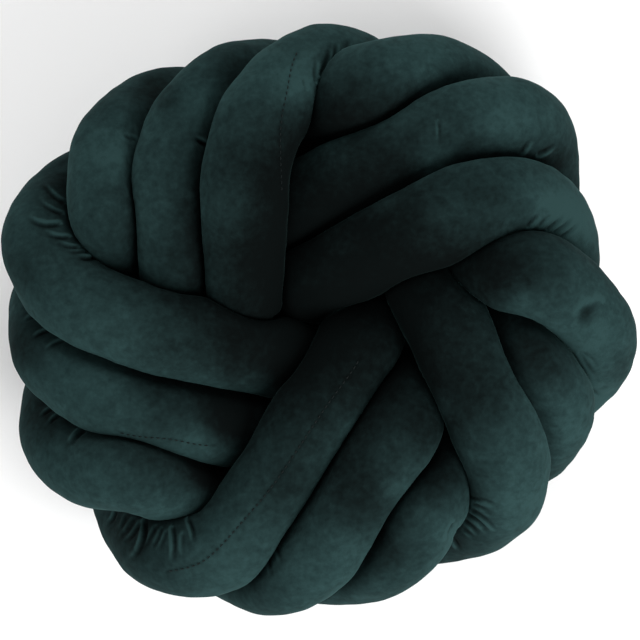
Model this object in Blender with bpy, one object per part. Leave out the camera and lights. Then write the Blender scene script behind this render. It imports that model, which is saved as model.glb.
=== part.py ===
# Knot cushion: a long stuffed velvet tube, wound into a round flat knot that lies on its back.
#
# The face is a five-armed pinwheel. Each arm is a group of three passes of the tube, side by side.
# A pass comes up from under the neighbouring arm near the hub, runs outward over the face, bends
# clockwise over the rim and goes back in to the hub on the other side. The knot is one sewn tube,
# so it is one solid: the fifteen passes joined to each other and to the filling between them.
#
# Frame: metres, +Z up out of the face, +X to the right and +Y up in the face view.
# Origin: under the middle of the knot, on the surface that it rests on.

import math
from collections import namedtuple

import bmesh
import bpy
import numpy as np

MM = 0.001

# Driving sizes, in mm.
STRAND_RADIUS = 31.5        # the stuffed tube, where nothing squeezes it
CROWN_HEIGHT = 62.0         # middle of the tube over the knot's mid-plane, halfway out to the rim
PROFILE_POWER = 3.0         # 2 gives an elliptical cross-section of the knot, more a fuller one
HUB_DIP = 24.0              # how far the face sinks in towards the hub
HUB_DIP_REACH = 95.0        # distance from the hub over which it sinks
RIM_WAYS = (0.84, 1.0, 1.16)  # where a pass is held round the rim, 1 being the mid-plane
CORE_RADIUS = 168.0         # the filled middle, hidden under the passes
CORE_HALF_HEIGHT = 36.0
CORE_DIP = 18.0             # how much lower it is at the hub
CORE_DIP_REACH = 60.0
CORE_POWER = 3.0            # 2 gives the core an elliptical cross-section, more a fuller one
REST_FLAT = 3.5             # how much of the lowest passes is pressed flat by the surface
MEAN_RIM_RADIUS = 185.0     # of the middle of the tube, on the knot's mid-plane

# Lift of the tube's middle off the face's general shape, in mm, at the named places of a pass:
# the tucked end dives under the neighbouring arm, and the third pass rides over what it covers.
LIFT = {1: dict(tuck=-56, inner=-14, mid=0, shoulder=0),
        2: dict(tuck=-54, inner=-12, mid=0, shoulder=0),
        3: dict(tuck=-48, inner=-4, mid=6, shoulder=4)}
SHOULDER_SHARE = 0.6        # share of a pass's own lift that it keeps at its shoulder

# The fifteen passes as the face shows them, clockwise within each arm, in mm from the hub: the
# places where the middle of the tube lies, then where it crosses the mid-plane (radius and
# angle in degrees), how fast it turns round the rim there (degrees per quarter of the way round
# the section), and how far it stands above the face's general shape (mm), at its inner end and
# further out.
Pass = namedtuple("Pass", "arm order tuck inner mid shoulder rim_radius rim_angle slant inner_lift lift")
PASSES = [
    Pass("upper_left", 1, (-143, 13), (-143, 52), (-143, 72), (-144, 87), 188, 133, 43, -11, -3),
    Pass("upper_left", 2, (-100, -20), (-95, 26), (-103, 66), (-104, 105), 174, 108, 43, -12, -5),
    Pass("upper_left", 3, (-49, -39), (-55, 20), (-54, 74), (-42, 137), 176, 85, 41, -10, 2),
    Pass("left", 1, (-49, -129), (-89, -117), (-131, -102), (-149, -101), 197, 204, 34, -22, 9),
    Pass("left", 2, (-20, -82), (-80, -73), (-127, -65), (-159, -43), 189, 180, 42, -8, -1),
    Pass("left", 3, (10, -29), (-40, -24), (-106, -11), (-166, 12), 201, 160, 33, -14, -5),
    Pass("bottom", 1, (116, -59), (83, -110), (66, -132), (60, -145), 172, 276, 56, -6, -1),
    Pass("bottom", 2, (71, -35), (49, -86), (23, -128), (0, -157), 180, 254, 46, 9, -3),
    Pass("bottom", 3, (44, 15), (10, -49), (-22, -99), (-65, -157), 193, 233, 36, 0, -13),
    Pass("right", 1, (66, 52), (111, 34), (142, 31), (163, 21), 192, 354, 27, -11, 6),
    Pass("right", 2, (78, 65), (123, 0), (141, -32), (153, -44), 175, 334, 34, -12, -1),
    Pass("right", 3, (53, 63), (87, 2), (118, -65), (128, -99), 176, 311, 35, -7, -1),
    Pass("upper_right", 1, (-54, 90), (-7, 140), (28, 157), (55, 164), 188, 57, 50, -25, 0),
    Pass("upper_right", 2, (-63, 47), (5, 89), (80, 129), (105, 135), 196, 41, 29, -7, -3),
    Pass("upper_right", 3, (-52, 3), (16, 40), (86, 71), (123, 83), 174, 18, 45, -9, 4),
]

# The far side is the same pinwheel, turned over and evened out: one row for each pass of an arm,
# as radius in mm and angle in degrees from the middle of the arm.
FarPass = namedtuple("FarPass", "tuck inner mid shoulder rim_angle")
FAR_PASSES = {
    1: FarPass((123, 70), (141, 48), (157, 38), (173, 31), 20),
    2: FarPass((90, 79), (107, 41), (143, 22), (166, 12), 0),
    3: FarPass((55, 110), (58, 31), (112, 2), (158, -7), -23),
}
FIRST_ARM_ANGLE = 110.0
ARM_NAMES = ("upper_left", "left", "bottom", "right", "upper_right")
FOLLOWS_RIM = dict(tuck=0.0, inner=0.0, mid=0.5, shoulder=0.85)   # how much the far side keeps

# Mesh fineness.
STATIONS = 31               # rings of points along each pass
FINE_STEPS = 20             # samples of the spline for each station
TUBE_RESOLUTION = 4         # Blender's bevel resolution of the tube's section
CORE_SEGMENTS = 24
CORE_RINGS = 16
WELD_DISTANCE = 0.001       # mm, joins a tube's caps to its wall
SHARP_ANGLE = 50.0          # degrees: creases between passes stay sharp
BLOCK_WIDTH = 600.0
BLOCK_DEPTH = 60.0


def clear_scene():
    for obj in list(bpy.data.objects):
        bpy.data.objects.remove(obj, do_unlink=True)


def new_collection(name):
    collection = bpy.data.collections.new(name)
    bpy.context.scene.collection.children.link(collection)
    return collection


def velvet():
    material = bpy.data.materials.new("dark_green_velvet")
    material.use_nodes = True
    shader = material.node_tree.nodes["Principled BSDF"]
    shader.inputs["Base Color"].default_value = (0.010, 0.030, 0.030, 1.0)
    shader.inputs["Roughness"].default_value = 0.85
    shader.inputs["Metallic"].default_value = 0.0
    return material


def face_height(radius, rim_radius):
    """Height of the tube's middle over the mid-plane, at a distance from the hub."""
    share = min(radius / rim_radius, 1.0)
    dome = (1.0 - share ** PROFILE_POWER) ** (1.0 / PROFILE_POWER)
    return CROWN_HEIGHT * dome - HUB_DIP * math.exp(-(radius / HUB_DIP_REACH) ** 2)


def rim_point(rim_radius, angle, way):
    """A point near the rim: way 0 is on the face's crown, 1 on the mid-plane, 2 on the far side."""
    near = min(way, 2.0 - way) * math.pi / 2.0
    out = rim_radius * math.sin(near) ** (2.0 / PROFILE_POWER)
    up = CROWN_HEIGHT * math.cos(near) ** (2.0 / PROFILE_POWER)
    turn = math.radians(angle)
    return (out * math.cos(turn), out * math.sin(turn), up if way < 1.0 else -up)


def near_side(row):
    """The face's places of a pass, from its tucked end out to its shoulder."""
    own_lift = dict(tuck=row.inner_lift, inner=row.inner_lift, mid=row.lift,
                    shoulder=row.lift * SHOULDER_SHARE)
    points = []
    for place in ("tuck", "inner", "mid", "shoulder"):
        x, y = getattr(row, place)
        z = face_height(math.hypot(x, y), row.rim_radius) + LIFT[row.order][place] + own_lift[place]
        points.append((x, y, z))
    return points


def far_side(row):
    """The far side's places of a pass, from its shoulder in to its tucked end.

    Turning the knot over swaps the first and third pass of an arm and the sense of its angles.
    """
    order = 4 - row.order
    far = FAR_PASSES[order]
    arm_angle = FIRST_ARM_ANGLE + 72.0 * ARM_NAMES.index(row.arm)
    shift = row.rim_angle - (arm_angle - far.rim_angle)
    shift = (shift + 180.0) % 360.0 - 180.0
    points = []
    for place in ("shoulder", "mid", "inner", "tuck"):
        radius, angle = getattr(far, place)
        follow = FOLLOWS_RIM[place]
        rim_radius = MEAN_RIM_RADIUS + follow * (row.rim_radius - MEAN_RIM_RADIUS)
        radius *= rim_radius / MEAN_RIM_RADIUS
        turn = math.radians(arm_angle - angle + follow * shift)
        z = face_height(radius, rim_radius) + LIFT[order][place]
        points.append((radius * math.cos(turn), radius * math.sin(turn), -z))
    return points


def over_rim(row):
    """Three points that take a pass over the rim, turning clockwise as it goes."""
    return [rim_point(row.rim_radius, row.rim_angle + row.slant * (1.0 - way), way)
            for way in RIM_WAYS]


def smooth_through(points, count):
    """Evenly spaced points on the natural cubic spline through the given ones."""
    knots = np.array(points, dtype=float)
    steps = np.sqrt(np.linalg.norm(np.diff(knots, axis=0), axis=1))
    at = np.concatenate([[0.0], np.cumsum(steps)])
    size = len(knots)
    system = np.eye(size)
    right = np.zeros((size, 3))
    for i in range(1, size - 1):
        before, after = steps[i - 1], steps[i]
        system[i, i - 1:i + 2] = before, 2.0 * (before + after), after
        slope_after = (knots[i + 1] - knots[i]) / after
        slope_before = (knots[i] - knots[i - 1]) / before
        right[i] = 6.0 * (slope_after - slope_before)
    bend = np.linalg.solve(system, right)

    fine = np.linspace(0.0, at[-1], FINE_STEPS * count)
    k = np.clip(np.searchsorted(at, fine, side="right") - 1, 0, size - 2)
    span = steps[k][:, None]
    left = (at[k + 1] - fine)[:, None]
    gone = (fine - at[k])[:, None]
    curve = (bend[k] * left ** 3 + bend[k + 1] * gone ** 3) / (6.0 * span)
    curve += (knots[k] / span - bend[k] * span / 6.0) * left
    curve += (knots[k + 1] / span - bend[k + 1] * span / 6.0) * gone

    length = np.concatenate([[0.0], np.cumsum(np.linalg.norm(np.diff(curve, axis=0), axis=1))])
    even = np.linspace(0.0, length[-1], count)
    return np.stack([np.interp(even, length, curve[:, axis]) for axis in range(3)], axis=1)


def strand_tube(row):
    """One pass of the tube, as a closed mesh made from a bevelled curve."""
    name = "pass_%s_%d" % (row.arm, row.order)
    route = smooth_through(near_side(row) + over_rim(row) + far_side(row), STATIONS)
    curve = bpy.data.curves.new(name, "CURVE")
    curve.dimensions = "3D"
    curve.bevel_depth = STRAND_RADIUS * MM
    curve.bevel_resolution = TUBE_RESOLUTION
    curve.use_fill_caps = True
    spline = curve.splines.new("POLY")
    spline.points.add(len(route) - 1)
    for point, place in zip(spline.points, route):
        point.co = (*(place * MM), 1.0)
    guide = bpy.data.objects.new(name, curve)
    bpy.context.scene.collection.objects.link(guide)
    bpy.context.view_layer.update()

    evaluated = guide.evaluated_get(bpy.context.evaluated_depsgraph_get())
    mesh = bpy.data.meshes.new_from_object(evaluated)
    bm = bmesh.new()
    bm.from_mesh(mesh)
    bmesh.ops.remove_doubles(bm, verts=bm.verts, dist=WELD_DISTANCE * MM)
    bmesh.ops.recalc_face_normals(bm, faces=bm.faces)
    bm.to_mesh(mesh)
    bm.free()
    tube = bpy.data.objects.new(name, mesh)
    tube.matrix_world = guide.matrix_world
    bpy.data.objects.remove(guide, do_unlink=True)
    return tube


def filling_core():
    """The filled middle of the knot: a round cushion, a little hollow at the hub."""
    mesh = bpy.data.meshes.new("core")
    bm = bmesh.new()
    bmesh.ops.create_uvsphere(bm, u_segments=CORE_SEGMENTS, v_segments=CORE_RINGS, radius=1.0)
    for vert in bm.verts:
        share = math.hypot(vert.co.x, vert.co.y)
        side = 1.0 if vert.co.z > 0.0 else -1.0
        dip = CORE_DIP * math.exp(-(share * CORE_RADIUS / CORE_DIP_REACH) ** 2)
        thick = max(1.0 - share ** CORE_POWER, 0.0) ** (1.0 / CORE_POWER)
        vert.co.x *= CORE_RADIUS * MM
        vert.co.y *= CORE_RADIUS * MM
        vert.co.z = side * (CORE_HALF_HEIGHT - dip) * thick * MM
    bm.to_mesh(mesh)
    bm.free()
    return bpy.data.objects.new("core", mesh)


def lowest_height(obj):
    """Height of the lowest point of an object's evaluated mesh, in mm."""
    bpy.context.view_layer.update()
    evaluated = obj.evaluated_get(bpy.context.evaluated_depsgraph_get())
    return min(vert.co.z for vert in evaluated.data.vertices) / MM


def middle_of(mesh):
    """Middle of a mesh's box on the ground plane."""
    across = [vert.co.x for vert in mesh.vertices]
    along = [vert.co.y for vert in mesh.vertices]
    return ((min(across) + max(across)) / 2.0, (min(along) + max(along)) / 2.0)


def resting_block(top):
    """A block whose top, at the given height in mm, presses the lowest passes flat."""
    bpy.ops.mesh.primitive_cube_add(size=1.0, location=(0.0, 0.0, (top - BLOCK_DEPTH / 2.0) * MM))
    block = bpy.context.object
    block.name = "resting_block"
    block.scale = (BLOCK_WIDTH * MM, BLOCK_WIDTH * MM, BLOCK_DEPTH * MM)
    return block


def hide_cutter(obj):
    obj.hide_render = True
    obj.display_type = "WIRE"


def add_boolean(obj, operation, tool=None, tools=None):
    modifier = obj.modifiers.new(operation.lower(), "BOOLEAN")
    modifier.operation = operation
    modifier.solver = "EXACT"
    if tools:
        modifier.operand_type = "COLLECTION"
        modifier.collection = tools
    else:
        modifier.object = tool


def outer_shell(obj):
    """Keeps the mesh's outer shell and drops any sealed hollow left between the passes."""
    mesh = obj.data
    bm = bmesh.new()
    bm.from_mesh(mesh)
    unseen = set(bm.verts)
    shells = []
    while unseen:
        group = {unseen.pop()}
        edge_of_group = list(group)
        while edge_of_group:
            vert = edge_of_group.pop()
            for edge in vert.link_edges:
                other = edge.other_vert(vert)
                if other in unseen:
                    unseen.discard(other)
                    group.add(other)
                    edge_of_group.append(other)
        shells.append(group)
    shells.sort(key=len)
    hidden = [vert for group in shells[:-1] for vert in group]
    bmesh.ops.delete(bm, geom=hidden, context="VERTS")
    bm.to_mesh(mesh)
    bm.free()


def build():
    clear_scene()
    model = new_collection("knot_cushion")
    cutters = new_collection("joined_pieces")

    core = filling_core()
    model.objects.link(core)
    for row in PASSES:
        tube = strand_tube(row)
        cutters.objects.link(tube)
        hide_cutter(tube)
    add_boolean(core, "UNION", tools=cutters)
    rest_height = lowest_height(core) + REST_FLAT
    block = resting_block(rest_height)
    for holder in block.users_collection:
        holder.objects.unlink(block)
    new_collection("resting_surface").objects.link(block)
    hide_cutter(block)
    add_boolean(core, "DIFFERENCE", tool=block)
    bpy.context.view_layer.update()
    evaluated = core.evaluated_get(bpy.context.evaluated_depsgraph_get())
    mesh = bpy.data.meshes.new_from_object(evaluated)
    cushion = bpy.data.objects.new("knot_cushion", mesh)
    outer_shell(cushion)
    middle = middle_of(mesh)
    for vert in mesh.vertices:
        vert.co.x -= middle[0]
        vert.co.y -= middle[1]
        vert.co.z -= rest_height * MM
    mesh.materials.clear()
    mesh.materials.append(velvet())
    mesh.shade_smooth()
    mesh.set_sharp_from_angle(angle=math.radians(SHARP_ANGLE))
    model.objects.unlink(core)
    bpy.data.objects.remove(core, do_unlink=True)
    model.objects.link(cushion)


build()
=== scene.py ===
# Knot cushion in dark green velvet, lying on its back and seen from straight above.
import math
from collections import namedtuple

import bpy
import numpy as np
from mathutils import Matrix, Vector


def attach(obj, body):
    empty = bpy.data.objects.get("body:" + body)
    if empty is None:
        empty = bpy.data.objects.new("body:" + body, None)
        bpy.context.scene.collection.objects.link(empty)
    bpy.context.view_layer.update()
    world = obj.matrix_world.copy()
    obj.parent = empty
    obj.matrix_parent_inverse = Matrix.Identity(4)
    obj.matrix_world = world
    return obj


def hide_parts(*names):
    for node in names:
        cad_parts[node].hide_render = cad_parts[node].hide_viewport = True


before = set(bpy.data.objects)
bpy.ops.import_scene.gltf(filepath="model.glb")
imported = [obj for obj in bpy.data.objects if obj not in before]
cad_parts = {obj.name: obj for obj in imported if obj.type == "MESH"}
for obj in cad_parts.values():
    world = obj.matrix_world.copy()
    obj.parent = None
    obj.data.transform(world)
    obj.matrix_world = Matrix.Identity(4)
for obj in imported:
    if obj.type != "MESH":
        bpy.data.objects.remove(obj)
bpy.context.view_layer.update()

mm = 0.001

# The knot's form is the part's: fifteen passes of one stuffed tube, in mm.
knot = {
    "tubeRadius": 31.5,        # where nothing squeezes the tube
    "crownHeight": 62.0,       # middle of the tube over the mid-plane, halfway out
    "profilePower": 3.0,       # 2 is an ellipse, more is fuller
    "hubDip": 24.0,            # how far the face sinks at the hub
    "hubDipReach": 95.0,
    "meanRimRadius": 185.0,
    "rimWays": (0.84, 1.0, 1.16),              # below 1 on the face, above 1 on the far side
    "restPress": 3.5,          # how far the lowest passes are pressed flat
    "firstArmAngle": 110.0,
}
armNames = ("upper_left", "left", "bottom", "right", "upper_right")
placeNames = ("tuck", "inner", "mid", "shoulder")
orderLift = {1: (-56, -14, 0, 0), 2: (-54, -12, 0, 0), 3: (-48, -4, 6, 4)}     # at each place
shoulderShare = 0.6            # how much of its own lift a pass has left at its shoulder
followsRim = (0.0, 0.0, 0.5, 0.85)             # how far each far place goes along with its rim

# places in mm from the hub as the face shows them, then the rim: radius, angle, slant; then lift
Pass = namedtuple("Pass", "arm order tuck inner mid shoulder rimRadius rimAngle slant innerLift lift")
passes = [
    Pass("upper_left", 1, (-143, 13), (-143, 52), (-143, 72), (-144, 87), 188, 133, 43, -11, -3),
    Pass("upper_left", 2, (-100, -20), (-95, 26), (-103, 66), (-104, 105), 174, 108, 43, -12, -5),
    Pass("upper_left", 3, (-49, -39), (-55, 20), (-54, 74), (-42, 137), 176, 85, 41, -10, 2),
    Pass("left", 1, (-49, -129), (-89, -117), (-131, -102), (-149, -101), 197, 204, 34, -22, 9),
    Pass("left", 2, (-20, -82), (-80, -73), (-127, -65), (-159, -43), 189, 180, 42, -8, -1),
    Pass("left", 3, (10, -29), (-40, -24), (-106, -11), (-166, 12), 201, 160, 33, -14, -5),
    Pass("bottom", 1, (116, -59), (83, -110), (66, -132), (60, -145), 172, 276, 56, -6, -1),
    Pass("bottom", 2, (71, -35), (49, -86), (23, -128), (0, -157), 180, 254, 46, 9, -3),
    Pass("bottom", 3, (44, 15), (10, -49), (-22, -99), (-65, -157), 193, 233, 36, 0, -13),
    Pass("right", 1, (66, 52), (111, 34), (142, 31), (163, 21), 192, 354, 27, -11, 6),
    Pass("right", 2, (78, 65), (123, 0), (141, -32), (153, -44), 175, 334, 34, -12, -1),
    Pass("right", 3, (53, 63), (87, 2), (118, -65), (128, -99), 176, 311, 35, -7, -1),
    Pass("upper_right", 1, (-54, 90), (-7, 140), (28, 157), (55, 164), 188, 57, 50, -25, 0),
    Pass("upper_right", 2, (-63, 47), (5, 89), (80, 129), (105, 135), 196, 41, 29, -7, -3),
    Pass("upper_right", 3, (-52, 3), (16, 40), (86, 71), (123, 83), 174, 18, 45, -9, 4),
]

# the far side, one row for each pass of an arm: radius and angle of each place, then the rim angle
farPlaces = {
    1: ((123, 70), (141, 48), (157, 38), (173, 31), 20),
    2: ((90, 79), (107, 41), (143, 22), (166, 12), 0),
    3: ((55, 110), (58, 31), (112, 2), (158, -7), -23),
}


def faceHeight(radius, rimRadius):
    share = min(radius / rimRadius, 1.0)
    dome = (1.0 - share ** knot["profilePower"]) ** (1.0 / knot["profilePower"])
    return knot["crownHeight"] * dome - knot["hubDip"] * math.exp(-(radius / knot["hubDipReach"]) ** 2)


def rimPoint(row, way):
    near = min(way, 2.0 - way) * math.pi / 2.0
    out = row.rimRadius * math.sin(near) ** (2.0 / knot["profilePower"])
    up = knot["crownHeight"] * math.cos(near) ** (2.0 / knot["profilePower"])
    turn = math.radians(row.rimAngle + row.slant * (1.0 - way))
    return (out * math.cos(turn), out * math.sin(turn), up if way < 1.0 else -up)


def routeOf(row):
    # up from the tucked end, out over the face, round the rim, and back in on the far side
    ownLift = (row.innerLift, row.innerLift, row.lift, row.lift * shoulderShare)
    points = []
    for i, place in enumerate(placeNames):
        x, y = getattr(row, place)
        z = faceHeight(math.hypot(x, y), row.rimRadius) + orderLift[row.order][i] + ownLift[i]
        points.append((x, y, z))
    points += [rimPoint(row, way) for way in knot["rimWays"]]
    order = 4 - row.order      # the first pass of an arm is the last one on the far side
    *places, farRimAngle = farPlaces[order]
    armAngle = knot["firstArmAngle"] + 360.0 / len(armNames) * armNames.index(row.arm)
    shift = (row.rimAngle - (armAngle - farRimAngle) + 180.0) % 360.0 - 180.0
    for i in (3, 2, 1, 0):
        radius, angle = places[i]
        rimRadius = knot["meanRimRadius"] + followsRim[i] * (row.rimRadius - knot["meanRimRadius"])
        radius *= rimRadius / knot["meanRimRadius"]
        turn = math.radians(armAngle - angle + followsRim[i] * shift)
        z = faceHeight(radius, rimRadius) + orderLift[order][i]
        points.append((radius * math.cos(turn), radius * math.sin(turn), -z))
    return points


def lengthAlong(points):
    # how far each point lies along the line through all of them
    return np.concatenate([[0.0], np.cumsum(np.linalg.norm(np.diff(points, axis=0), axis=1))])


def smoothThrough(points, count):
    # natural cubic spline through the points, drawn finely and then read off at even steps
    finer = 6
    knots = np.array(points, dtype=float)
    steps = np.sqrt(np.linalg.norm(np.diff(knots, axis=0), axis=1))
    at = np.concatenate([[0.0], np.cumsum(steps)])
    size = len(knots)
    system = np.eye(size)
    wanted = np.zeros((size, 3))
    for i in range(1, size - 1):
        before, after = steps[i - 1], steps[i]
        system[i, i - 1:i + 2] = before, 2.0 * (before + after), after
        wanted[i] = 6.0 * ((knots[i + 1] - knots[i]) / after - (knots[i] - knots[i - 1]) / before)
    bend = np.linalg.solve(system, wanted)
    fine = np.linspace(0.0, at[-1], finer * count)
    k = np.clip(np.searchsorted(at, fine, side="right") - 1, 0, size - 2)
    span = steps[k][:, None]
    left = (at[k + 1] - fine)[:, None]
    gone = (fine - at[k])[:, None]
    curve = (bend[k] * left ** 3 + bend[k + 1] * gone ** 3) / (6.0 * span)
    curve += (knots[k] / span - bend[k] * span / 6.0) * left
    curve += (knots[k + 1] / span - bend[k + 1] * span / 6.0) * gone
    length = lengthAlong(curve)
    even = np.linspace(0.0, length[-1], count)
    return np.stack([np.interp(even, length, curve[:, axis]) for axis in range(3)], axis=1)


def unit(vectors):
    return vectors / np.maximum(np.linalg.norm(vectors, axis=-1, keepdims=True), 1e-9)


def ease(share):
    # from 0 to 1 with a soft start and a soft end
    return share * share * (3.0 - 2.0 * share)


# The stuffed tube is squeezed by its neighbours and the floor, and round where it is free.
tube = {
    "sections": 230,           # places along a pass where its cross-section is worked out
    "around": 116,             # points in a ring
    "outerShare": 0.5,         # how much closer the points lie on the side that shows
    "spacing": 2.7,            # mm between rings, and beside a crease
    "fineSpacing": 0.85,
    "fineReach": 9.0,
    "freeRadius": 32.0,
    "leastRadius": 5.0,
    "endRadius": 24.0,         # at a tucked end, which gives way to the pass that lies over it
    "endLength": {1: 75.0, 2: 75.0, 3: 55.0},      # by order in the arm
    "foldRadius": 14.0,        # how round the velvet turns into a crease, where there is room
    "foldShare": 0.93, "foldLimit": 0.97,          # of the narrowest room, before and after smoothing
    "foldSmooth": 6, "skinSmooth": 2,              # sections to each side
    "seamGap": 0.15,           # left between two passes that press on each other
    "leastToFloor": 4.0,
    "lean": 24.0,              # degrees: how far a pass leans over the next one of its arm
    "leanShift": 6.0,          # mm, so that the crease stays where it was placed
    "leanFade": 50.0,          # mm: the lean turns over between the face and the far side
    "reachMargin": 8.0,        # mm past touching, where a neighbour still counts
    "ownGap": 14.0,            # mm along a pass, before it can press on itself
    "ownShare": 0.96,          # of the way to its own next turn
    "farLimit": 200.0,         # mm, a ray that meets nothing
    "lumpHeight": 0.7, "lumpSize": 55.0,
    "dimpleHeight": 0.22, "dimpleSize": 17.0, "dimpleSeed": 50,
    "capRings": 9, "capLength": 0.8,               # in free radii
}
rightArmRank = {1: 4, 2: 1, 3: 3}              # its first pass lies over both of the others


def softNoise(points, size, seed):
    # smooth bumps between about -1 and 1, "size" mm from bump to bump
    waves, usualHeight = 14, 3.7
    rng = np.random.default_rng(seed)
    total = np.zeros(points.shape[:-1])
    for _ in range(waves):
        way = unit(rng.normal(size=3)) * 2.0 * math.pi / (size * rng.uniform(0.75, 1.5))
        total += np.sin(points @ way + rng.uniform(0.0, 2.0 * math.pi))
    return total / usualHeight


def frameAlong(route):
    # along the tube, outward from the knot, and across
    half = 8                   # sections to each side, over which the outward way is evened out
    along = unit(np.gradient(route, axis=0))
    outward = np.stack([route[:, 0] / knot["meanRimRadius"] ** 2,
                        route[:, 1] / knot["meanRimRadius"] ** 2,
                        route[:, 2] / knot["crownHeight"] ** 2], axis=1)
    outward = unit(outward)
    for _ in range(3):
        outward -= along * np.sum(outward * along, axis=1, keepdims=True)
        outward = unit(outward)
        padded = np.pad(outward, ((half, half), (0, 0)), mode="edge")
        outward = sum(padded[i:i + len(route)] for i in range(2 * half + 1)) / (2.0 * half + 1.0)
    outward -= along * np.sum(outward * along, axis=1, keepdims=True)
    outward = unit(outward)
    return along, outward, np.cross(along, outward)


def firmness(index, route):
    # radius that a pass holds against its neighbours: full along its middle, less at its tucked ends
    order = passes[index].order
    length = lengthAlong(route)
    fromStart = length / tube["endLength"][order]
    fromEnd = (length[-1] - length) / tube["endLength"][4 - order]
    full = ease(np.clip(np.minimum(fromStart, fromEnd), 0.0, 1.0))
    return tube["endRadius"] + (tube["freeRadius"] - tube["endRadius"]) * full


def rankOf(index):
    # within an arm the higher rank lies over the lower
    row = passes[index]
    return rightArmRank[row.order] if row.arm == "right" else row.order


def roomAround(index, routes, outwards, directions, floorHeight):
    # how far each ray may run before it meets the plane between it and another pass, or the floor
    route, outward = routes[index], outwards[index]
    hold = firmness(index, route)
    rest = [i for i in range(len(routes)) if i != index]
    others = np.concatenate([routes[i][::2] for i in rest])
    othersOutward = np.concatenate([outwards[i][::2] for i in rest])
    othersHold = np.concatenate([firmness(i, routes[i])[::2] for i in rest])
    over = []
    for i in rest:
        sameArm = float(passes[i].arm == passes[index].arm)
        over.append(np.full(len(routes[i][::2]), sameArm * np.sign(rankOf(index) - rankOf(i))))
    over = np.concatenate(over)
    apart = np.linalg.norm(np.diff(route, axis=0), axis=1).mean()
    ownGap = int(tube["ownGap"] / apart)
    lean = math.radians(tube["lean"])
    touching = (2.0 * tube["freeRadius"] + tube["reachMargin"]) ** 2
    room = np.full(directions.shape[:2], tube["farLimit"])
    for s in range(len(route)):
        toOthers = others - route[s]
        far = np.einsum("ij,ij->i", toOthers, toOthers)
        near = far < touching
        own = np.concatenate([route[:max(s - ownGap, 0)], route[s + ownGap:]]) - route[s]
        ownFar = np.einsum("ij,ij->i", own, own)
        ownNear = ownFar < touching
        # lean the plane towards the pass that lies lower, seen from outside the knot
        gap = np.sqrt(far[near])
        way = toOthers[near] / gap[:, None]
        up = outward[s] + othersOutward[near]
        up = unit(up - way * np.sum(up * way, axis=1, keepdims=True))
        onFace = np.clip((route[s, 2] + others[near][:, 2]) / tube["leanFade"], -1.0, 1.0)
        side = over[near] * onFace
        way = unit(way * math.cos(lean) - up * (side * math.sin(lean))[:, None])
        straight = np.sum(way * toOthers[near], axis=1) / gap
        reachTo = far[near] + hold[s] ** 2 - othersHold[near] ** 2
        reachTo = (reachTo - 2.0 * side * tube["leanShift"] * gap) * straight
        toAll = np.concatenate([way * gap[:, None], own[ownNear]])
        farAll = np.concatenate([reachTo, tube["ownShare"] * ownFar[ownNear]])
        if len(toAll):
            reach = directions[s] @ toAll.T
            stop = farAll / (2.0 * np.maximum(reach, 1e-6))
            room[s] = np.where(reach > 1e-6, stop, tube["farLimit"]).min(axis=1)
    down = -directions[:, :, 2]
    height = (route[:, 2] - floorHeight)[:, None]
    toFloor = np.where(down > 1e-3, height / np.maximum(down, 1e-3), tube["farLimit"])
    return room, np.maximum(toFloor, tube["leastToFloor"])


def roundedSection(room, angles, fold):
    # the largest shape inside the room whose corners turn no tighter than the fold radius:
    # first where the middle of a disc of that radius can go, then all that the disc covers
    facing = np.cos(angles[:, None] - angles[None, :])
    result = np.empty_like(room)
    for s in range(len(room)):
        edge = room[s]
        radius = fold[s]
        reach = edge[None, :] * facing
        inside = reach ** 2 - edge[None, :] ** 2 + radius ** 2
        blocked = (inside > 0.0) & (reach > 0.0)
        stop = np.where(blocked, reach - np.sqrt(np.maximum(inside, 0.0)), tube["farLimit"])
        middle = np.maximum(stop.min(axis=1), 0.0)
        onRay = middle[None, :] * facing
        under = radius ** 2 - middle[None, :] ** 2 * (1.0 - facing ** 2)
        covered = np.where(under > 0.0, onRay + np.sqrt(np.maximum(under, 0.0)), 0.0)
        result[s] = covered.max(axis=1)
    return result


def smoothAlong(values, width):
    kernel = np.exp(-np.linspace(-2.0, 2.0, 2 * width + 1) ** 2)
    kernel /= kernel.sum()
    padded = np.pad(values, ((width, width),) + ((0, 0),) * (values.ndim - 1), mode="edge")
    return sum(k * padded[i:i + len(values)] for i, k in enumerate(kernel))


def passShape(index, routes, outwards, floorHeight):
    route = routes[index]
    along, outward, across = frameAlong(route)
    even = np.linspace(-math.pi, math.pi, tube["around"], endpoint=False)
    angles = even - tube["outerShare"] * np.sin(even)
    directions = (outward[:, None, :] * np.cos(angles)[None, :, None]
                  + across[:, None, :] * np.sin(angles)[None, :, None])
    room, toFloor = roomAround(index, routes, outwards, directions, floorHeight)
    skin = route[:, None, :] + tube["freeRadius"] * directions
    free = firmness(index, route)[:, None]
    free = free + tube["lumpHeight"] * softNoise(skin, tube["lumpSize"], index)
    free += tube["dimpleHeight"] * softNoise(skin, tube["dimpleSize"], tube["dimpleSeed"] + index)
    room = np.minimum(np.minimum(room - tube["seamGap"], toFloor), free)
    room = np.maximum(room, tube["leastRadius"])
    narrowest = room.min(axis=1)
    fold = np.minimum(tube["foldRadius"], tube["foldShare"] * narrowest)
    fold = np.minimum(smoothAlong(fold, tube["foldSmooth"]), tube["foldLimit"] * narrowest)
    radius = smoothAlong(roundedSection(room, angles, fold), tube["skinSmooth"])
    return route, along, directions, radius, angles


def addObject(name, data):
    thing = bpy.data.objects.new(name, data)
    bpy.context.scene.collection.objects.link(thing)
    return thing


def addPiece(name, points, faces):
    mesh = bpy.data.meshes.new(name)
    mesh.from_pydata((points * mm).tolist(), [], faces)
    mesh.update()
    mesh.shade_smooth()
    return addObject(name, mesh)


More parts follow.
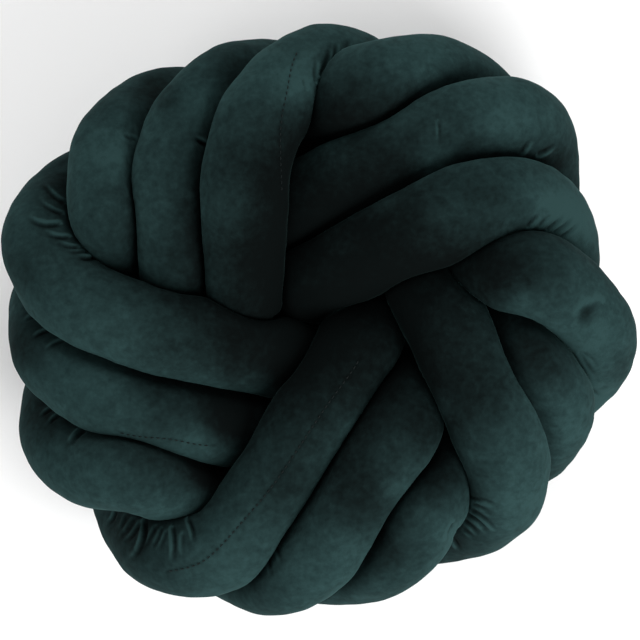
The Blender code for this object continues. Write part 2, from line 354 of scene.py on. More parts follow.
def closedTube(name, rings, tips):
    # rings of points joined in a grid, closed at both ends by a point
    count, around, _ = rings.shape
    points = np.concatenate([rings.reshape(-1, 3), tips])
    first, last = len(points) - 2, len(points) - 1
    faces = []
    for s in range(count - 1):
        for k in range(around):
            m = (k + 1) % around
            faces.append((s * around + k, s * around + m, (s + 1) * around + m, (s + 1) * around + k))
    for k in range(around):
        m = (k + 1) % around
        faces.append((first, m, k))
        faces.append((last, (count - 1) * around + k, (count - 1) * around + m))
    return addPiece(name, points, faces)


def capRings(route, along, directions, radius, atEnd):
    # a round end past the last ring
    s = -1 if atEnd else 0
    way = along[s] if atEnd else -along[s]
    rings = []
    for i in range(1, tube["capRings"] + 1):
        turn = 0.5 * math.pi * i / (tube["capRings"] + 1)
        middle = route[s] + way * tube["capLength"] * tube["freeRadius"] * math.sin(turn)
        rings.append(middle + directions[s] * (radius[s] * math.cos(turn))[:, None])
    tip = route[s] + way * tube["capLength"] * tube["freeRadius"]
    return rings, tip


# Gathers, creases and one dent, each placed as the face shows it.
creaseForm = {
    "deeper": 1.4,             # on all depths below
    "lipShare": 0.55,          # a lip stands up beside each trough, by this share of its depth
    "lipPlace": -1.7, "lipWidth": 0.8,         # in trough widths
    # painted highlight on each lip, painted shade in each trough
    "lipHighlight": 1.5, "troughShade": 0.8,
    "openStart": 0.3,          # how far into its rise a crease already is where it starts
    "faceFade": 8.0,           # mm below the middle of the tube, where creases fade out
}
# mm from the hub: from the side of the next pass outwards; bow to its left, half width, depth
Crease = namedtuple("Crease", "arm order start end bow width depth")
creases = [
    Crease("left", 3, (-179, 81), (-195, 96), 1.5, 1.3, 0.9),
    Crease("left", 3, (-180, 73), (-197, 84), 1.5, 1.2, 0.8),
    Crease("left", 3, (-181, 65), (-204, 71), 3.0, 1.5, 1.5),
    Crease("left", 3, (-174, 56), (-190, 60), 1.5, 1.3, 1.2),
    Crease("left", 3, (-168, 49), (-181, 53), 1.0, 1.2, 0.8),
    Crease("left", 3, (-164, 46), (-175, 47), 0.5, 1.0, 0.5),
    Crease("left", 3, (-156, 42), (-167, 43), 1.0, 1.4, 1.2),
    Crease("left", 2, (-196, 2), (-205, -2), -1.0, 1.2, 0.8),
    Crease("left", 2, (-187, -8), (-198, -14), -1.0, 1.2, 0.9),
    Crease("left", 2, (-177, -15), (-188, -22), -1.0, 1.2, 0.8),
    Crease("left", 1, (-187, -63), (-194, -69), -1.0, 1.2, 0.8),
    Crease("left", 1, (-181, -67), (-188, -74), -1.0, 1.2, 0.9),
    Crease("left", 1, (-163, -77), (-171, -87), -1.0, 1.6, 1.4),
    Crease("upper_left", 1, (-128, 124), (-136, 127), 0.0, 1.1, 0.8),
    Crease("upper_left", 2, (-77, 119), (-87, 124), 0.5, 1.4, 1.4),
    Crease("upper_left", 3, (-10, 158), (-12, 166), 0.0, 1.1, 0.6),
    Crease("upper_left", 3, (-3, 164), (-3, 178), 0.5, 1.4, 1.3),
    Crease("upper_left", 3, (0, 168), (6, 190), -2.0, 1.4, 1.2),
    Crease("upper_left", 3, (9, 177), (11, 192), -0.5, 1.3, 0.9),
    Crease("upper_left", 3, (17, 181), (20, 194), 0.0, 1.3, 0.7),
    Crease("upper_left", 3, (25, 185), (29, 194), 0.0, 1.3, 0.7),
    Crease("bottom", 3, (-144, -136), (-151, -146), 1.5, 1.3, 0.9),
    Crease("bottom", 3, (-136, -139), (-141, -150), 0.5, 1.3, 0.5),
    Crease("bottom", 3, (-130, -141), (-141, -155), 0.5, 1.5, 0.6),
    Crease("bottom", 3, (-125, -143), (-137, -157), 1.0, 1.3, 0.8),
    Crease("bottom", 3, (-121, -142), (-133, -170), 3.5, 1.6, 1.8),
    Crease("bottom", 3, (-114, -145), (-123, -160), 0.5, 1.2, 0.6),
    Crease("bottom", 3, (-109, -146), (-116, -159), 0.5, 1.2, 0.6),
    Crease("bottom", 3, (-106, -148), (-112, -161), 0.5, 1.2, 0.6),
    Crease("bottom", 3, (-101, -145), (-101, -167), 1.0, 1.5, 1.3),
    Crease("bottom", 3, (-94, -149), (-93, -163), -0.5, 1.3, 0.5),
    Crease("bottom", 3, (-90, -139), (-86, -153), 1.0, 1.4, 1.1),
    Crease("bottom", 2, (-37, -163), (-33, -177), 0.5, 1.3, 0.7),
    Crease("bottom", 2, (-31, -157), (-26, -168), 0.5, 1.2, 0.6),
    Crease("bottom", 1, (91, -141), (87, -152), -0.5, 1.2, 0.6),
    Crease("right", 3, (106, -124), (124, -131), 1.5, 1.3, 1.0),
    Crease("right", 3, (107, -128), (120, -137), 1.0, 1.2, 0.7),
    Crease("right", 3, (106, -133), (123, -147), 1.0, 1.3, 1.0),
    Crease("right", 3, (104, -136), (117, -149), 1.0, 1.3, 1.1),
    Crease("right", 3, (102, -141), (111, -151), 0.5, 1.2, 0.8),
    Crease("right", 3, (101, -147), (108, -154), 0.5, 1.1, 0.5),
    Crease("right", 3, (94, -155), (99, -164), 0.5, 1.4, 1.2),
    Crease("right", 1, (189, 9), (180, -7), -5.0, 3.0, 0.5),
    Crease("right", 1, (180, -24), (195, -42), -1.0, 1.4, 0.6),
    Crease("right", 1, (183, -24), (193, -33), 0.5, 1.1, 0.5),
    Crease("right", 1, (190, -50), (199, -55), 0.0, 1.4, 1.1),
    Crease("upper_right", 3, (143, 64), (150, 72), 0.0, 1.3, 1.2),
    Crease("upper_right", 3, (151, 64), (159, 72), 0.5, 1.1, 0.8),
    Crease("upper_right", 3, (157, 62), (168, 73), -1.0, 1.3, 1.5),
    Crease("upper_right", 3, (162, 60), (175, 71), -1.0, 1.3, 1.5),
    Crease("upper_right", 3, (167, 57), (180, 68), -1.0, 1.2, 1.2),
    Crease("upper_right", 2, (140, 116), (146, 124), 0.5, 1.3, 1.0),
    Crease("upper_right", 2, (152, 115), (163, 122), -1.0, 1.3, 1.1),
    Crease("upper_right", 2, (81, 134), (81, 119), 0.5, 1.1, 0.5),
]

# The long seam shows on three passes.
seamForm = {
    # groove width and depth in mm, then how much painted shade lies in the groove
    "width": 1.1, "depth": 0.4, "grooveShade": 0.2,
    "pitch": 4.1, "thread": 2.7, "threadRadius": 0.42,
    "threadSides": 6, "threadRounds": 5,
    "threadRise": 1.6, "threadSink": 0.6,      # in thread radii: its middle stands up, its ends dive in
    "threadEnd": 0.45,         # how thick it still is at its ends
    "curvePoints": 200,
}
Seam = namedtuple("Seam", "arm order route")
seams = [
    Seam("bottom", 3, ((-106, -174), (-82, -167), (-64, -151), (-50, -135),
                       (-31, -112), (4, -60), (21, -37), (28, -26))),
    Seam("left", 2, ((-138, -77), (-123, -80), (-102, -82), (-84, -86), (-72, -87))),
    Seam("upper_left", 3, ((-15, 185), (-19, 174), (-22, 158), (-25, 143), (-27, 128), (-26, 83))),
]

shadeForm = {
    "darkPlace": (14.0, 32.0), # painted shade: in and about the hub, where it lies in shadow, the velvet is darkened to nearly black
    "darkRadius": 32.0, "lightRadius": 175.0,
    "outwardLight": 0.08,               # painted light: sides that face away from the hub are lighter, sides that face it darker
    "edge": 0.34,              # painted highlight on the side that lies over the next pass
    "faceFade": 40.0,          # mm, patches fade out below the face
}
# painted light and shade, lighter where a part lies open to the light, darker where it lies deep in a
# fold's shadow,
# with some brushed pile among them: middle and reach in mm, then how much lighter or darker
Patch = namedtuple("Patch", "arm order x y reach change")
patches = [
    Patch("upper_left", 1, -142, 114, 19, 0.3),
    Patch("upper_left", 1, -148, 90, 10, -0.16),
    Patch("upper_left", 1, -111, 166, 24, -0.5),
    Patch("upper_left", 1, -160, 149, 22, -0.2),
    Patch("upper_left", 1, -153, 58, 18, -0.2),
    Patch("upper_left", 2, -83, 147, 11, 0.3),
    Patch("upper_left", 2, -106, 152, 14, -0.35),
    Patch("upper_left", 2, -58, 176, 22, -0.45),
    Patch("upper_left", 2, -90, 65, 13, -0.12),
    Patch("upper_left", 2, -92, 44, 15, -0.1),
    Patch("upper_left", 2, -111, 72, 15, 0.14),
    Patch("upper_left", 3, -52, 159, 22, 0.1),
    Patch("upper_left", 3, -14, 161, 19, 0.55),
    Patch("upper_left", 3, -64, 72, 22, 0.4),
    Patch("upper_left", 3, -33, 97, 14, -0.14),
    Patch("upper_left", 3, -70, 28, 11, 0.2),
    Patch("upper_left", 3, -38, 48, 17, -0.1),
    Patch("left", 1, -196, -70, 22, -0.4),
    Patch("left", 1, -111, -105, 21, -0.3),
    Patch("left", 1, -81, -104, 13, -0.7),
    Patch("left", 1, -108, -131, 13, 0.25),
    Patch("left", 1, -74, -108, 9, -0.6),
    Patch("left", 2, -208, -18, 21, -0.6),
    Patch("left", 2, -153, -37, 18, 0.2),
    Patch("left", 2, -108, -32, 15, -0.35),
    Patch("left", 2, -73, -60, 17, -0.35),
    Patch("left", 2, -60, -70, 15, -0.6),
    Patch("left", 2, -87, -84, 10, 0.2),
    Patch("left", 2, -108, -67, 14, -0.25),
    Patch("left", 2, -57, -77, 10, -0.5),
    Patch("left", 3, -175, 93, 21, -0.3),
    Patch("left", 3, -207, 34, 24, -0.3),
    Patch("left", 3, -132, -1, 25, 0.1),
    Patch("left", 3, -80, -46, 15, 0.16),
    Patch("left", 3, -108, -25, 14, -0.16),
    Patch("left", 3, -45, -49, 10, 0.2),
    Patch("left", 3, -56, -18, 18, -0.22),
    Patch("left", 3, -22, -30, 13, -0.5),
    Patch("left", 3, -19, -37, 8, -0.4),
    Patch("bottom", 1, 82, -105, 22, -0.6),
    Patch("bottom", 1, 45, -157, 24, -0.5),
    Patch("bottom", 1, 96, -150, 11, 0.3),
    Patch("bottom", 2, -40, -190, 18, -0.25),
    Patch("bottom", 2, -21, -167, 15, 0.1),
    Patch("bottom", 2, 29, -122, 25, -0.6),
    Patch("bottom", 2, 17, -157, 14, 0.15),
    Patch("bottom", 2, 51, -115, 8, 0.35),
    Patch("bottom", 2, 76, -77, 18, -0.4),
    Patch("bottom", 3, -133, -155, 22, -0.4),
    Patch("bottom", 3, -108, -178, 18, -0.2),
    Patch("bottom", 3, -68, -162, 21, 0.2),
    Patch("bottom", 3, -21, -115, 25, -0.42),
    Patch("bottom", 3, 22, -76, 10, 0.3),
    Patch("right", 1, 122, 34, 24, -0.4),
    Patch("right", 1, 156, 31, 18, -0.2),
    Patch("right", 1, 181, 3, 6, -0.5),
    Patch("right", 1, 195, -11, 14, 0.16),
    Patch("right", 1, 139, 11, 8, 0.35),
    Patch("right", 1, 208, -39, 17, -0.25),
    Patch("right", 2, 136, -15, 24, -0.4),
    Patch("right", 2, 158, -30, 18, -0.45),
    Patch("right", 2, 172, -76, 15, 0.2),
    Patch("right", 3, 136, -126, 19, 0.2),
    Patch("right", 3, 111, -49, 24, -0.35),
    Patch("right", 3, 83, -58, 8, 0.35),
    Patch("right", 3, 101, -95, 8, 0.3),
    Patch("right", 3, 111, -159, 13, -0.15),
    Patch("right", 3, 73, -8, 17, 0.1),
    Patch("upper_right", 1, 3, 144, 19, -0.3),
    Patch("upper_right", 1, 31, 152, 17, -0.15),
    Patch("upper_right", 1, 59, 144, 14, -0.25),
    Patch("upper_right", 1, 101, 166, 17, -0.3),
    Patch("upper_right", 1, 73, 180, 21, 0.16),
    Patch("upper_right", 2, 52, 138, 17, 0.3),
    Patch("upper_right", 2, 125, 138, 24, 0.25),
    Patch("upper_right", 2, 10, 114, 14, 0.3),
    Patch("upper_right", 2, 80, 104, 14, 0.7),
    Patch("upper_right", 2, 167, 107, 15, -0.3),
    Patch("upper_right", 3, 83, 72, 26, 0.35),
    Patch("upper_right", 3, 167, 69, 24, 0.5),
    Patch("upper_right", 3, 167, 107, 13, -0.2),
    Patch("upper_right", 3, 125, 55, 14, 0.2),
    Patch("upper_right", 3, 45, 79, 11, 0.3),
    Patch("upper_right", 3, 17, 51, 10, 0.15),
]


def paintedShade(index, points, directions, sides):
    # painted light and shade: 0 where the velvet is painted as lying in shadow, 1 where it is painted
    # as lit
    # painted shade: darker towards the hub, lighter towards the rim
    far = np.linalg.norm(points[:, :2] - np.array(shadeForm["darkPlace"]), axis=1)
    fade = shadeForm["lightRadius"] - shadeForm["darkRadius"]
    shade = ease(np.clip((far - shadeForm["darkRadius"]) / fade, 0.0, 1.0))
    fromHub = points[:, :2] / np.maximum(np.linalg.norm(points[:, :2], axis=1, keepdims=True), 1.0)
    # painted light: lighter on the sides that face away from the hub
    shade += shadeForm["outwardLight"] * np.sum(fromHub * directions[:, :2], axis=1)
    here = (passes[index].arm, passes[index].order)
    overSide = 1.0 if here == ("right", 1) else -1.0       # that pass lies over the others of its arm
    # painted highlight on the side that lies over the next pass
    shade += shadeForm["edge"] * overSide * sides ** 3
    faceUp = np.clip(0.5 + points[:, 2] / shadeForm["faceFade"], 0.0, 1.0)
    # patches of painted light and shade, with some brushed pile
    for row in patches:
        if (row.arm, row.order) == here:
            away = np.linalg.norm(points[:, :2] - np.array([row.x, row.y]), axis=1)
            shade += row.change * np.exp(-(away / row.reach) ** 2) * faceUp
    return shade


def ringPlaces(index, route, along):
    # where the rings lie along a pass, close together where it has creases
    reach = 1.5 * tube["freeRadius"]
    half = 4                   # sections to each side, over which the spacing is evened out
    apart = np.linalg.norm(np.diff(route, axis=0), axis=1).mean()
    need = np.full(len(route), 1.0 / tube["spacing"])
    for row in creases:
        if (row.arm, row.order) == (passes[index].arm, passes[index].order):
            for end in (row.start, row.end):
                aside = np.array([end[0], end[1]]) - route[:, :2]
                forward = np.abs(np.sum(aside * along[:, :2], axis=1))
                beside = (np.linalg.norm(aside, axis=1) < reach) & (route[:, 2] > -tube["freeRadius"])
                near = beside * np.exp(-(forward / tube["fineReach"]) ** 4)
                need = np.maximum(need, 1.0 / tube["spacing"] + near / tube["fineSpacing"])
    evening = np.full(2 * half + 1, 1.0 / (2 * half + 1))
    need = np.convolve(np.pad(need, half, mode="edge"), evening, mode="valid")
    count = np.concatenate([[0.0], np.cumsum(0.5 * (need[1:] + need[:-1]) * apart)])
    return np.interp(np.linspace(0.0, count[-1], int(count[-1])), count, np.arange(len(route)))


def readBetween(values, places):
    # values at uneven places, by a smooth curve through the even ones
    slope = np.gradient(values, axis=0)
    i = np.minimum(places.astype(int), len(values) - 2)
    t = (places - i).reshape((-1,) + (1,) * (values.ndim - 1))
    a, b = values[i], values[i + 1]
    curve = a * (1.0 + 2.0 * t) * (1.0 - t) ** 2 + b * t ** 2 * (3.0 - 2.0 * t)
    return curve + slope[i] * t * (1.0 - t) ** 2 - slope[i + 1] * t ** 2 * (1.0 - t)


def alongCurve(points, plan):
    # for each plan point: how far along a short curve (0 to 1), and how far to its left, in mm
    curve = np.array(points, dtype=float)
    best = np.full(plan.shape[:-1], 1e9)
    share = np.zeros(plan.shape[:-1])
    left = np.zeros(plan.shape[:-1])
    for i in range(len(curve) - 1):
        step = curve[i + 1] - curve[i]
        size = np.linalg.norm(step)
        t = np.clip(((plan - curve[i]) @ step) / size ** 2, 0.0, 1.0)
        off = plan - (curve[i] + t[..., None] * step)
        far = np.linalg.norm(off, axis=-1)
        closer = far < best
        best = np.where(closer, far, best)
        share = np.where(closer, (i + t) / (len(curve) - 1), share)
        side = step[0] * off[..., 1] - step[1] * off[..., 0]
        left = np.where(closer, far * np.sign(side), left)
    return share, left


def bowed(start, end, bow):
    # seven points on a shallow arc
    start, end = np.array(start, dtype=float), np.array(end, dtype=float)
    aside = np.array([start[1] - end[1], end[0] - start[0]]) / np.linalg.norm(end - start)
    t = np.linspace(0.0, 1.0, 7)[:, None]
    return start + (end - start) * t + 4.0 * bow * aside * t * (1.0 - t)


def creaseRelief(index, rings, route):
    # height to add along each ray, and painted shade (below 0) in troughs and seams and painted
    # highlight (above 0) on lips
    relief = np.zeros(rings.shape[:2])
    grooveShadeAndHighlight = np.zeros(rings.shape[:2])
    aboveMiddle = rings[:, :, 2] - route[:, None, 2]
    faceUp = np.clip(aboveMiddle / creaseForm["faceFade"] + 1.0, 0.0, 1.0)
    here = (passes[index].arm, passes[index].order)
    openStart = creaseForm["openStart"]
    for row in creases:
        if (row.arm, row.order) == here:
            share, left = alongCurve(bowed(row.start, row.end, row.bow), rings[:, :, :2])
            fade = np.sin(math.pi * (openStart + (1.0 - openStart) * share)) * (share < 1.0)
            trough = np.exp(-(left / row.width) ** 2)
            lip = np.exp(-((left / row.width - creaseForm["lipPlace"]) / creaseForm["lipWidth"]) ** 2)
            raised = creaseForm["lipShare"] * lip - trough
            # painted highlight on the lip, painted shade in the trough
            highlightAndShade = creaseForm["lipHighlight"] * lip - creaseForm["troughShade"] * trough
            relief += creaseForm["deeper"] * row.depth * fade * faceUp * raised
            grooveShadeAndHighlight += fade * faceUp * highlightAndShade * min(row.depth, 1.0)
    for row in seams:
        if (row.arm, row.order) == here:
            share, left = alongCurve(row.route, rings[:, :, :2])
            fade = (share > 0.0) * (share < 1.0)
            trough = np.exp(-(left / seamForm["width"]) ** 2)
            relief -= seamForm["depth"] * fade * faceUp * trough
            # painted shade in the seam's groove
            grooveShadeAndHighlight -= seamForm["grooveShade"] * fade * faceUp * trough
    return relief, grooveShadeAndHighlight


def addAttribute(piece, name, values):
    layer = piece.data.attributes.new(name, "FLOAT", "POINT")
    layer.data.foreach_set("value", values.astype(np.float32))


def makePass(index, routes, outwards, floorHeight):
    row = passes[index]
    route, along, directions, radius, angles = passShape(index, routes, outwards, floorHeight)
    places = ringPlaces(index, route, along)
    route, along = readBetween(route, places), unit(readBetween(along, places))
    directions, radius = unit(readBetween(directions, places)), readBetween(radius, places)
    body = route[:, None, :] + directions * radius[:, :, None]
    relief, grooveShadeAndHighlight = creaseRelief(index, body, route)
    body += directions * relief[:, :, None]
    startRings, startTip = capRings(route, along, directions, radius, False)
    endRings, endTip = capRings(route, along, directions, radius, True)
    rings = np.concatenate([np.array(startRings[::-1]), body, np.array(endRings)])
    tips = np.array([startTip, endTip])
    # each ring's points first, then the two tips
    caps = tube["capRings"]
    cap = np.zeros((caps, tube["around"]))
    grooveShadeAndHighlight = np.concatenate([cap, grooveShadeAndHighlight, cap]).reshape(-1)
    ways = np.concatenate([directions[:1]] * caps + [directions] + [directions[-1:]] * caps)
    sides = np.tile(np.sin(angles), len(ways))
    shade = paintedShade(index, np.concatenate([rings.reshape(-1, 3), tips]),
                      np.concatenate([ways.reshape(-1, 3), np.zeros((2, 3))]),
                      np.concatenate([sides, [0.0, 0.0]]))
    rings[:, :, 2] -= floorHeight
    tips[:, 2] -= floorHeight
    piece = closedTube("pass_%s_%d" % (row.arm, row.order), rings, tips)
    addAttribute(piece, "grooveShadeAndHighlight", np.concatenate([grooveShadeAndHighlight, [0.0, 0.0]]))
    addAttribute(piece, "shade", shade)
    return piece


routes = [smoothThrough(routeOf(row), tube["sections"]) for row in passes]
outwards = [frameAlong(route)[1] for route in routes]
floorHeight = min(route[:, 2].min() for route in routes) - knot["tubeRadius"] + knot["restPress"]
pieces = [makePass(index, routes, outwards, floorHeight) for index in range(len(passes))]
print("passes made", len(pieces), sum(len(p.data.polygons) for p in pieces), "faces")


# The stuffed middle closes the view between the passes.
core = {
    "radius": 118.0, "halfHeight": 26.0,       # mm, well inside the passes
    "power": 2.6, "dip": 10.0, "dipReach": 50.0,
    "rings": 28, "around": 72,
    "lumpHeight": 1.2, "lumpSize": 40.0, "lumpSeed": 90,
}


def makeCore(floorHeight):
    # a flat round roll of the same tube, seen only between passes, in painted shade
    turns = np.linspace(0.5 * math.pi, -0.5 * math.pi, core["rings"] + 2)[1:-1]
    around = np.linspace(0.0, 2.0 * math.pi, core["around"], endpoint=False)
    rings = []
    for turn in turns:
        out = core["radius"] * math.cos(turn) ** (2.0 / core["power"])
        up = core["halfHeight"] * abs(math.sin(turn)) ** (2.0 / core["power"])
        up -= core["dip"] * math.exp(-(out / core["dipReach"]) ** 2)
        level = np.full_like(around, math.copysign(up, turn))
        rings.append(np.stack([out * np.cos(around), out * np.sin(around), level], axis=1))
    rings = np.array(rings)
    lumps = core["lumpHeight"] * softNoise(rings, core["lumpSize"], core["lumpSeed"])
    rings += unit(rings) * lumps[:, :, None]
    height = core["halfHeight"] - core["dip"]
    tips = np.array([(0.0, 0.0, height), (0.0, 0.0, -height)])
    rings[:, :, 2] -= floorHeight
    tips[:, 2] -= floorHeight
    piece = closedTube("core", rings[:, ::-1], tips)
    # painted shade: its shade is 0 all over, the velvet's darkest, as it lies in shadow between the
    # passes
    for name in ("grooveShadeAndHighlight", "shade"):
        addAttribute(piece, name, np.zeros(len(piece.data.vertices)))
    return piece


pieces.append(makeCore(floorHeight))
print("middle made")


def makeStitches(row):
    # short threads that lie in the seam's groove, one every few mm
    piece = pieces[[(p.arm, p.order) for p in passes].index((row.arm, row.order))]
    curve = smoothThrough([(x, y, 0.0) for x, y in row.route], seamForm["curvePoints"])
    length = lengthAlong(curve)
    pitch, thread, radius = seamForm["pitch"], seamForm["thread"], seamForm["threadRadius"]
    sides, rounds, thin = seamForm["threadSides"], seamForm["threadRounds"], seamForm["threadEnd"]
    points, faces = [], []
    for start in np.arange(0.5 * pitch, length[-1] - pitch, pitch):
        ends = []
        for at in (start, start + thread):
            x, y = (np.interp(at, length, curve[:, i]) for i in range(2))
            above, down = Vector((x * mm, y * mm, 1.0)), Vector((0.0, 0.0, -1.0))
            hit, place, normal, _ = piece.ray_cast(above, down)
            if hit:
                ends.append((np.array(place) / mm, np.array(normal)))
        if len(ends) < 2:
            continue
        first = len(points)
        way = unit(ends[1][0] - ends[0][0])
        up = ends[0][1]
        aside = np.cross(way, up)
        for i in range(rounds):
            t = i / (rounds - 1)
            rise = radius * (seamForm["threadRise"] * math.sin(math.pi * t) - seamForm["threadSink"])
            thick = radius * (thin + (1.0 - thin) * math.sin(math.pi * t))
            middle = ends[0][0] * (1.0 - t) + ends[1][0] * t + up * rise
            for k in range(sides):
                turn = 2.0 * math.pi * k / sides
                points.append(middle + thick * (aside * math.cos(turn) + up * math.sin(turn)))
        for i in range(rounds - 1):
            a, b = first + i * sides, first + (i + 1) * sides
            for k in range(sides):
                m = (k + 1) % sides
                faces.append((a + k, b + k, b + m, a + m))
        faces.append(tuple(range(first, first + sides)))
        faces.append(tuple(range(first + rounds * sides - 1, first + (rounds - 1) * sides - 1, -1)))
    return addPiece("stitches_%s_%d" % (row.arm, row.order), np.array(points), faces)


stitches = [makeStitches(row) for row in seams]
print("seams stitched", len(stitches))


# Velvet and thread.
velvetLook = {
    "deep": "#070b0b",         # painted shade: the velvet's colour where it lies deep in shadow
    "open": "#243939",         # the velvet's colour where it is painted as lit
    "shadeShare": 0.7, "shadeBase": 0.1,           # painted light and shade, by place
    "grooveShadeShare": 0.4,         # painted shade in creases and seams, painted highlight beside creases
    "patchSize": 11.0,         # mm, patches where a hand has brushed the pile
    "patchDepth": 0.085,
    "grainSize": 4.5,          # mm, tufts; real ones are about 1 mm, drawn coarser so that they show
    "grainDepth": 0.09,
    "grainBump": 0.5, "grainHeight": 0.4,          # mm
    "fibreSize": 1.3,          # mm, tips of the pile; real ones are under 0.1 mm, drawn coarser too
    "fibreBump": 0.35, "fibreHeight": 0.2,         # mm
    "evenPower": 2.0,          # makes even steps of painted shade and pile look like even steps of lightness
    "roughness": 0.95, "specular": 0.02,           # pile scatters, and has no shine of its own
    "sheen": 0.1,
    "sheenSpread": 0.22,
    "sheenTint": "#6f9f9c",
}
threadLook = {
    "deep": "#070b0b", "open": "#101a1a",
    "twistSize": 0.4,          # mm, one turn of its plies
    "roughness": 0.8, "specular": 0.15,
}


def linearColour(code):
    parts = [int(code[i:i + 2], 16) / 255.0 for i in (1, 3, 5)]
    parts = [p / 12.92 if p <= 0.04045 else ((p + 0.055) / 1.055) ** 2.4 for p in parts]
    return (*parts, 1.0)


def addNode(tree, kind, settings=None, links=None):
    node = tree.nodes.new(kind)
    for key, value in (settings or {}).items():
        if isinstance(key, int) or key in node.inputs:
            node.inputs[key].default_value = value
        else:
            setattr(node, key, value)
    for key, source in (links or {}).items():
        tree.links.new(source, node.inputs[key])
    return node


def newMaterial(name):
    material = bpy.data.materials.new(name)
    material.use_nodes = True
    return material, material.node_tree, material.node_tree.nodes["Principled BSDF"]


def colourBy(tree, value, look, shader):
    # coloured from the look's deep colour at 0 to its open one at 1, with the look's gloss; on the
    # velvet the value is mostly painted light and shade
    ramp = addNode(tree, "ShaderNodeValToRGB", {}, {"Fac": value})
    ramp.color_ramp.elements[0].color = linearColour(look["deep"])
    ramp.color_ramp.elements[1].color = linearColour(look["open"])
    tree.links.new(ramp.outputs["Color"], shader.inputs["Base Color"])
    shader.inputs["Roughness"].default_value = look["roughness"]
    shader.inputs["Specular IOR Level"].default_value = look["specular"]


def makeVelvet():
    # short-pile polyester velvet, woven and sheared: matt, blue-green and lighter by its sheen where it
    # turns away, nearly black in and about the hub by painted shade, and blotched where the pile has
    # been brushed
    look = velvetLook
    material, tree, shader = newMaterial("short_pile_polyester_velvet")
    place = addNode(tree, "ShaderNodeTexCoord").outputs["Object"]
    shade = addNode(tree, "ShaderNodeAttribute", {"attribute_name": "shade"}).outputs["Fac"]
    grooveShadeAndHighlight = addNode(tree, "ShaderNodeAttribute", {"attribute_name": "grooveShadeAndHighlight"}).outputs["Fac"]
    brushed = addNode(tree, "ShaderNodeTexNoise",
                      {"Scale": 1000.0 / look["patchSize"], "Detail": 4.0, "Roughness": 0.55,
                       "Distortion": 0.6},
                      {"Vector": place}).outputs["Fac"]
    grain = addNode(tree, "ShaderNodeTexNoise",
                    {"Scale": 1000.0 / look["grainSize"], "Detail": 3.0, "Roughness": 0.6},
                    {"Vector": place}).outputs["Fac"]
    fibre = addNode(tree, "ShaderNodeTexNoise",
                    {"Scale": 1000.0 / look["fibreSize"], "Detail": 2.0, "Roughness": 0.6},
                    {"Vector": place}).outputs["Fac"]
    # painted light and shade by place, then brushed patches and tufts of the pile, then painted shade
    # and highlights at creases and seams
    shadeAndPile = addNode(tree, "ShaderNodeMath",
                  {"operation": "MULTIPLY_ADD", 1: look["shadeShare"], 2: look["shadeBase"]},
                  {0: shade}).outputs[0]
    for value, depth in ((brushed, look["patchDepth"]), (grain, look["grainDepth"])):
        part = addNode(tree, "ShaderNodeMapRange",
                       {"From Min": 0.3, "From Max": 0.7, "To Min": -depth, "To Max": depth},
                       {"Value": value}).outputs["Result"]
        shadeAndPile = addNode(tree, "ShaderNodeMath", {"operation": "ADD"}, {0: shadeAndPile, 1: part}).outputs[0]
    shadeAndPile = addNode(tree, "ShaderNodeMath",
                  {"operation": "MULTIPLY_ADD", 1: look["grooveShadeShare"], "use_clamp": True},
                  {0: grooveShadeAndHighlight, 2: shadeAndPile}).outputs[0]
    shadeAndPile = addNode(tree, "ShaderNodeMath",
                  {"operation": "POWER", 1: look["evenPower"]}, {0: shadeAndPile}).outputs[0]
    colourBy(tree, shadeAndPile, look, shader)
    bump = addNode(tree, "ShaderNodeBump",
                   {"Strength": look["grainBump"], "Distance": look["grainHeight"] * mm},
                   {"Height": grain})
    bump = addNode(tree, "ShaderNodeBump",
                   {"Strength": look["fibreBump"], "Distance": look["fibreHeight"] * mm},
                   {"Height": fibre, "Normal": bump.outputs["Normal"]})
    tree.links.new(bump.outputs["Normal"], shader.inputs["Normal"])
    shader.inputs["Sheen Weight"].default_value = look["sheen"]
    shader.inputs["Sheen Roughness"].default_value = look["sheenSpread"]
    shader.inputs["Sheen Tint"].default_value = linearColour(look["sheenTint"])
    return material


def makeThread():
    # spun polyester sewing thread, dyed like the velvet but without its pile
    material, tree, shader = newMaterial("spun_polyester_thread")
    place = addNode(tree, "ShaderNodeTexCoord").outputs["Object"]
    twist = addNode(tree, "ShaderNodeTexNoise",
                    {"Scale": 1000.0 / threadLook["twistSize"], "Detail": 1.0},
                    {"Vector": place}).outputs["Fac"]
    colourBy(tree, twist, threadLook, shader)
    return material


velvet = makeVelvet()
thread = makeThread()
for piece in pieces:
    piece.data.materials.append(velvet)
for piece in stitches:
    piece.data.materials.append(thread)
print("velvet and thread on")


# Floor, light and camera, in metres.
studio = {
    "floorSize": 60.0,         # so wide that its edge never shows
    "floorDrop": 0.0005,
    "paper": "#f4f4f4", "paperRoughness": 0.95,
    "sky": ((0.0, 1.0), (0.2, 0.9), (0.5, 0.16), (1.0, 0.22)),     # how high up, how bright
    "skyStrength": 1.6,
    "lampAim": (0.0, 0.0, 0.09),
    "cameraPlace": (0.0, -0.0007, 2.0),
    "lens": 151.9, "sensor": 36.0,             # mm
}
Lamp = namedtuple("Lamp", "name azimuth elevation distance size watts")
lamps = [
    Lamp("lower_right_softbox", -50.0, 38.0, 1.5, 0.9, 24.5),
    Lamp("left_softbox", 195.0, 36.0, 1.3, 0.8, 7.0),
    Lamp("upper_softbox", 75.0, 34.0, 1.3, 0.8, 8.0),
]


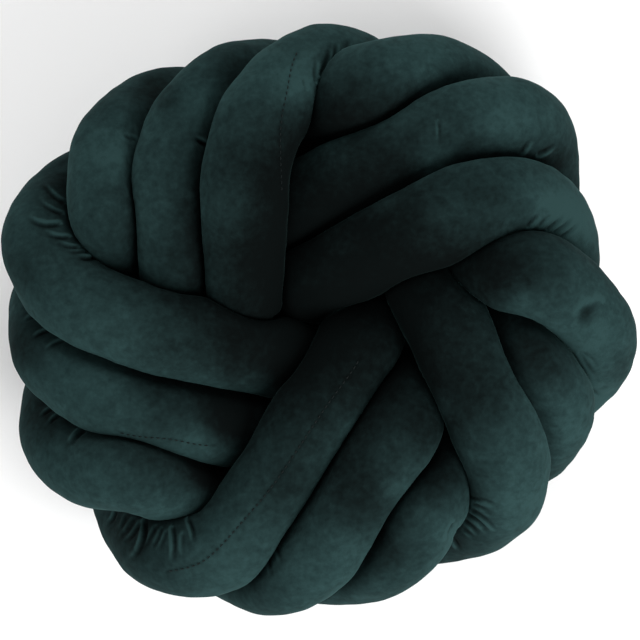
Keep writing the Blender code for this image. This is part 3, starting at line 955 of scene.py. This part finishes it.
def addFloor():
    bpy.ops.object.select_all(action="DESELECT")
    place = (0.0, 0.0, -studio["floorDrop"])
    bpy.ops.mesh.primitive_plane_add(size=studio["floorSize"], location=place)
    floor = bpy.context.object
    floor.name = "floor"
    material, _, shader = newMaterial("matt_white_paper")
    shader.inputs["Base Color"].default_value = linearColour(studio["paper"])
    shader.inputs["Roughness"].default_value = studio["paperRoughness"]
    floor.data.materials.append(material)


def addLight(row):
    light = bpy.data.lights.new(row.name, "AREA")
    light.size = row.size
    light.energy = row.watts
    lamp = addObject(row.name, light)
    a, e = math.radians(row.azimuth), math.radians(row.elevation)
    way = Vector((math.cos(a) * math.cos(e), math.sin(a) * math.cos(e), math.sin(e)))
    lamp.location = way * row.distance
    toAim = Vector(studio["lampAim"]) - lamp.location
    lamp.rotation_euler = toAim.to_track_quat("-Z", "Y").to_euler()


def addCamera():
    # straight above, with the knot filling the frame
    camera = addObject("camera", bpy.data.cameras.new("camera"))
    camera.location = studio["cameraPlace"]
    camera.data.sensor_width = studio["sensor"]
    camera.data.lens = studio["lens"]
    bpy.context.scene.camera = camera


def addWorld():
    # bright low down, dim overhead, as in a white tent with the lamps at its sides
    world = bpy.data.worlds.new("studio")
    bpy.context.scene.world = world
    world.use_nodes = True
    tree = world.node_tree
    way = addNode(tree, "ShaderNodeTexCoord").outputs["Generated"]
    height = addNode(tree, "ShaderNodeSeparateXYZ", {}, {"Vector": way}).outputs["Z"]
    ramp = addNode(tree, "ShaderNodeValToRGB", {}, {"Fac": height})
    for place, _ in studio["sky"][1:-1]:
        ramp.color_ramp.elements.new(place)
    for element, (_, level) in zip(ramp.color_ramp.elements, studio["sky"]):
        element.color = (level, level, level, 1.0)
    tree.links.new(ramp.outputs["Color"], tree.nodes["Background"].inputs["Color"])
    tree.nodes["Background"].inputs["Strength"].default_value = studio["skyStrength"]


addFloor()
addWorld()
for row in lamps:
    addLight(row)
addCamera()
bpy.context.scene.view_settings.view_transform = "Standard"
print("floor, lamps and camera placed")

for piece in pieces:
    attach(piece, "root")
    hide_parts("knot_cushion")
for piece in stitches:
    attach(piece, "root")
